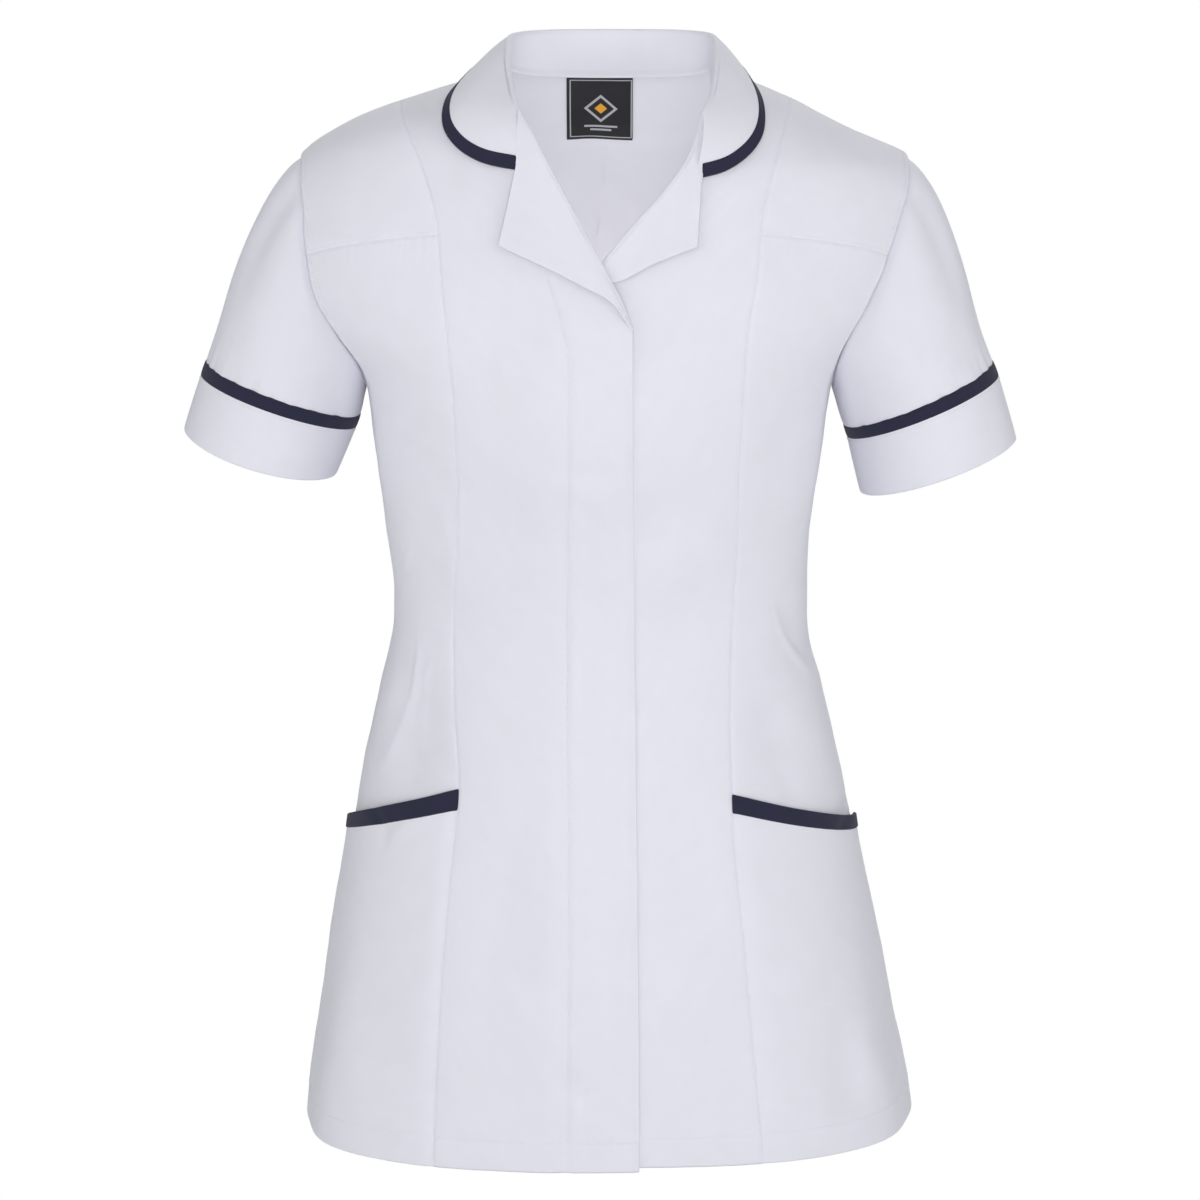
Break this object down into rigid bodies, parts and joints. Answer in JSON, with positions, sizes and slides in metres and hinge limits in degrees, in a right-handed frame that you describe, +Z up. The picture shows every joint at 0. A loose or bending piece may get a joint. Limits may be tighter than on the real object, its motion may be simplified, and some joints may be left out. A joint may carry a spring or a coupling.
{
  "type": "work tunic",
  "caption": "Short-sleeved fitted work tunic in its worn form, with an open revere collar, lapped front, princess seams, hip pockets and contrast binding.",
  "frame": {"origin": "between the shoulders at the height of the shoulder seams' neck ends, in the plane of the shoulder seams, where the tunic is held", "axes": "+Z up, -Y the front, +X the wearer's left"},
  "size_m": [0.5444, 0.2857, 0.7189],
  "materials": {
    "white_cloth": "smooth white twill, pressed",
    "navy_binding": "navy twill strip",
    "label_cloth": "dark woven label"
  },
  "bodies": {
    "root": {"collar": "white_cloth", "collar_binding": "navy_binding", "label": "label_cloth", "back_r": "white_cloth", "front_r": "white_cloth", "yoke_r": "white_cloth", "side_front_r": "white_cloth", "lapel_r": "white_cloth", "pocket_r": "white_cloth", "sleeve_r": "white_cloth", "cuff_r": "white_cloth", "pocket_binding_r": "navy_binding", "sleeve_binding_r": "navy_binding", "back_l": "white_cloth", "front_l": "white_cloth", "yoke_l": "white_cloth", "side_front_l": "white_cloth", "lapel_l": "white_cloth", "pocket_l": "white_cloth", "sleeve_l": "white_cloth", "cuff_l": "white_cloth", "pocket_binding_l": "navy_binding", "sleeve_binding_l": "navy_binding"}
  },
  "joints": []
}
